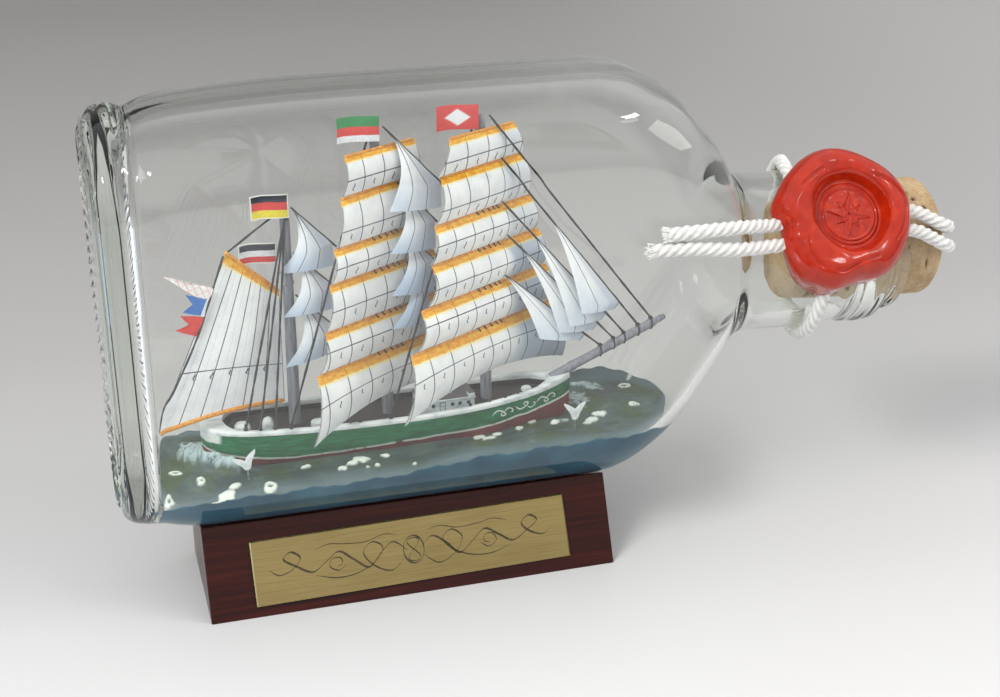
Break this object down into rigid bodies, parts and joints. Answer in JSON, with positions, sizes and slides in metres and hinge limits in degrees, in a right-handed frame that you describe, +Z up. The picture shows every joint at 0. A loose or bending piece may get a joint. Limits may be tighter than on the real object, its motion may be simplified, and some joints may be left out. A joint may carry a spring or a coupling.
{
  "type": "ship in a bottle",
  "caption": "Model sailing ship on a painted sea, sealed inside a flat clear flask with a cork, cord and wax seal, lying on a low wooden stand.",
  "frame": {"origin": "centre of the stand's underside", "axes": "+X along the bottle from its base to its mouth, +Y away from the front with the name plate, +Z up"},
  "size_m": [0.1579, 0.0411, 0.0917],
  "materials": {
    "flask_glass": "clear, faint green tint, glossy",
    "cork": "natural cork, dry",
    "mahogany": "dark mahogany stain under gloss lacquer",
    "brass": "brushed, with an engraved flourish",
    "hull_paint": "painted green over a red-brown boot top",
    "rail_white": "white paint",
    "deck_brown": "dark brown paint",
    "spar_grey": "grey paint",
    "house_paint": "pale blue-white paint with dark windows",
    "sail_paper": "printed paper with grey seams and orange-yellow head bands",
    "staysail_paper": "pale blue-grey printed paper",
    "flag_paper": "printed paper in plain stripes",
    "thread": "waxed black thread",
    "sea_putty": "putty painted blue-grey and green with white foam",
    "gull_paper": "white paper on wire",
    "cotton_cord": "twisted white cotton",
    "sealing_wax": "red-orange sealing wax, glossy"
  },
  "bodies": {
    "stand": {"stand_block": "mahogany", "brass_plate": "brass"},
    "bottle": {"backstay_fore": "thread", "backstay_main": "thread", "bottle_glass": "flask_glass", "bowsprit": "spar_grey", "bulwark_cap": "rail_white", "cord_neck_loop": "cotton_cord", "cord_strand_lower": "cotton_cord", "cord_strand_upper": "cotton_cord", "cork_stopper": "cork", "deck": "deck_brown", "deckhouse": "house_paint", "flag_fore_top": "flag_paper", "flag_gaff": "flag_paper", "flag_main_top": "flag_paper", "flag_mizzen_top": "flag_paper", "fore_topmast_staysail": "staysail_paper", "gull_aft": "gull_paper", "gull_bow": "gull_paper", "hatch_bow": "rail_white", "hatch_waist": "rail_white", "hull": "hull_paint", "jib_flying": "staysail_paper", "jib_inner": "staysail_paper", "jib_outer": "staysail_paper", "mast_fore": "spar_grey", "mast_main": "spar_grey", "mast_mizzen": "spar_grey", "sail_fore_course": "sail_paper", "sail_fore_lower_topgallant": "sail_paper", "sail_fore_lower_topsail": "sail_paper", "sail_fore_royal": "sail_paper", "sail_fore_upper_topgallant": "sail_paper", "sail_fore_upper_topsail": "sail_paper", "sail_main_course": "sail_paper", "sail_main_lower_topgallant": "sail_paper", "sail_main_lower_topsail": "sail_paper", "sail_main_royal": "sail_paper", "sail_main_upper_topgallant": "sail_paper", "sail_main_upper_topsail": "sail_paper", "sea_putty": "sea_putty", "shrouds_mizzen": "thread", "signal_hoist": "flag_paper", "skylight_aft": "rail_white", "skylight_mid": "rail_white", "spanker": "sail_paper", "stay_fore_topmast": "thread", "staysail_main_1": "staysail_paper", "staysail_main_2": "staysail_paper", "staysail_main_3": "staysail_paper", "staysail_main_4": "staysail_paper", "staysail_mizzen_1": "staysail_paper", "staysail_mizzen_2": "staysail_paper", "staysail_mizzen_3": "staysail_paper", "wax_seal": "sealing_wax"}
  },
  "joints": [
    {"name": "bottle_lift", "type": "slide", "parent": "stand", "child": "bottle", "axis": [0, 0, 1], "range_m": [0, 0.06]}
  ]
}
